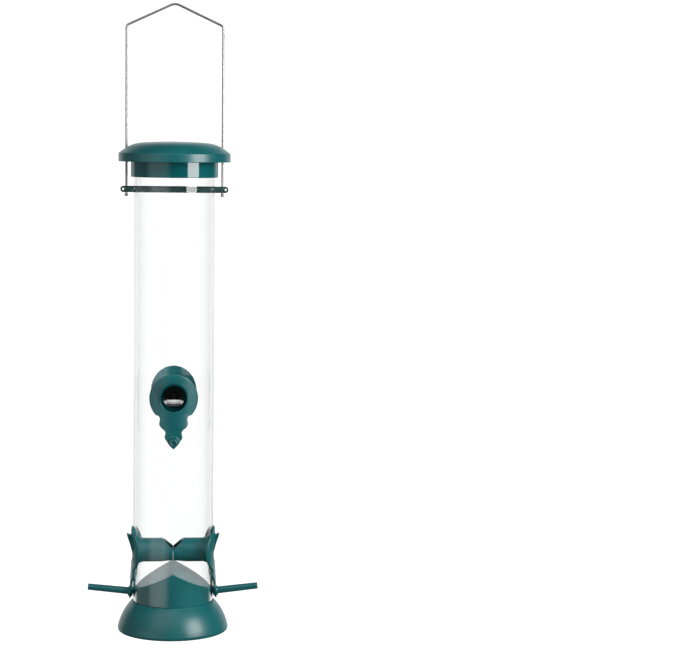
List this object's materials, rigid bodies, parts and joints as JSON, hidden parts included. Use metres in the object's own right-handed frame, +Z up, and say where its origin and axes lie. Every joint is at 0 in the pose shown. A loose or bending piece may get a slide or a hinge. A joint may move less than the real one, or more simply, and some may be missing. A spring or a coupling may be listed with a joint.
{
  "type": "hanging tube bird feeder",
  "caption": "Hanging tube bird feeder: clear tube with hooded feeding ports and perches, wire hanger, lid that slides up the wire, bell base with seed deflector.",
  "frame": {"origin": "middle of the flat underside of the base", "axes": "+Z up along the tube, +X towards the lower right port and along the crossbar, -Y towards the front upper port"},
  "size_m": [0.1356, 0.1356, 0.4961],
  "materials": {
    "green_plastic": "satin moulded",
    "clear_plastic": "clear, polished",
    "steel_wire": "drawn wire",
    "screw_steel": "plated"
  },
  "bodies": {
    "feeder": {"seed_tube": "clear_plastic", "base": "green_plastic", "seed_deflector": "green_plastic", "upper_front_port": "green_plastic", "upper_back_port": "green_plastic", "lower_left_port": "green_plastic", "lower_right_port": "green_plastic", "upper_front_perch": "green_plastic", "upper_back_perch": "green_plastic", "lower_left_perch": "green_plastic", "lower_right_perch": "green_plastic", "upper_tie_screw": "screw_steel", "lower_tie_screw": "screw_steel"},
    "lid": {"lid": "green_plastic"},
    "hanger": {"hanger_wire": "steel_wire", "crossbar": "green_plastic"}
  },
  "joints": [
    {"name": "lid_lift", "type": "slide", "parent": "feeder", "child": "lid", "axis": [0, 0, 1], "range_m": [0, 0.09]},
    {"name": "hanger_swing", "type": "hinge", "parent": "feeder", "child": "hanger", "pos_m": [0, 0, 0.3511], "axis": [1, 0, 0], "range_deg": [-2, 2]}
  ]
}
